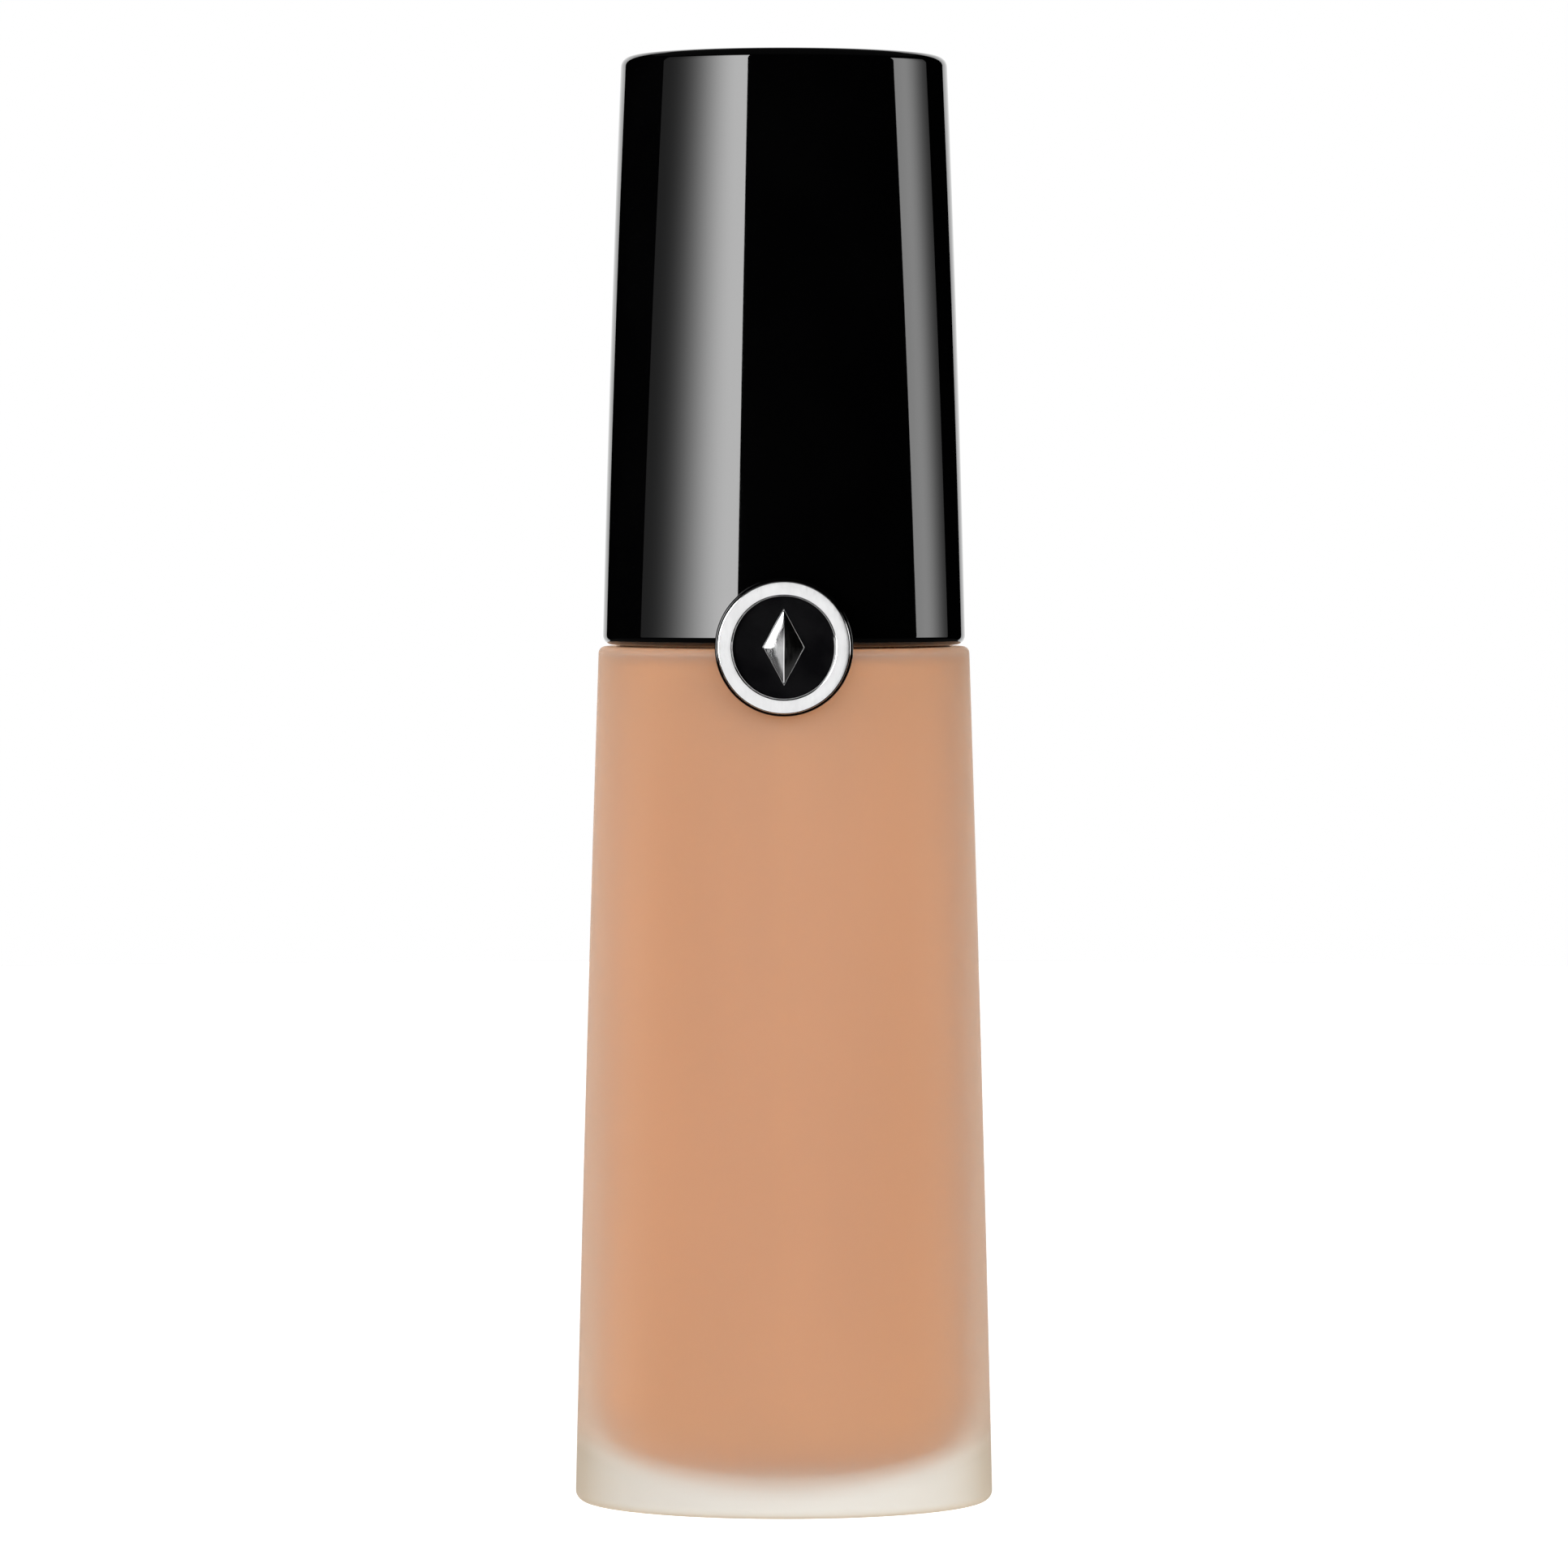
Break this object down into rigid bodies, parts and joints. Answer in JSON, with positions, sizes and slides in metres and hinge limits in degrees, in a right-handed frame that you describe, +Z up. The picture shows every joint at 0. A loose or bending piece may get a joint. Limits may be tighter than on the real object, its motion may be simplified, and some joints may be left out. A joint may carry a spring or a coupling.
{
  "type": "foundation bottle",
  "caption": "Slim oval frosted glass foundation bottle with a tall gloss black pull-off cap, a wand applicator inside it and a round bright medallion over the joint.",
  "frame": {"origin": "centre of the bottle's foot, on the plane it stands on", "axes": "+Z up along the bottle, -Y out of the front where the medallion is, X along the oval's long axis"},
  "size_m": [0.0318, 0.0257, 0.11],
  "materials": {
    "frosted_glass": "matte",
    "foundation": "satin",
    "natural_plastic": "satin",
    "soft_plastic": "matte",
    "label_paper": "matte",
    "black_gloss": "gloss",
    "liner_plastic": "satin",
    "weight_steel": "satin",
    "washer_rubber": "matte",
    "stem_plastic": "gloss",
    "flock": "matte",
    "bright_chrome": "polished",
    "black_lacquer": "gloss"
  },
  "bodies": {
    "bottle": {"glass_bottle": "frosted_glass", "foundation_fill": "foundation", "neck_insert": "natural_plastic", "wiper": "soft_plastic", "base_label": "label_paper"},
    "cap": {"cap_shell": "black_gloss", "inner_cap": "liner_plastic", "cap_weight": "weight_steel", "seal_washer": "washer_rubber", "wand_stem": "stem_plastic", "applicator_tip": "flock", "medallion_seat": "black_gloss", "medallion_emblem": "bright_chrome", "emblem_infill": "black_lacquer"}
  },
  "joints": [
    {"name": "cap_lift", "type": "slide", "parent": "bottle", "child": "cap", "axis": [0, 0, 1], "range_m": [0, 0.075]}
  ]
}
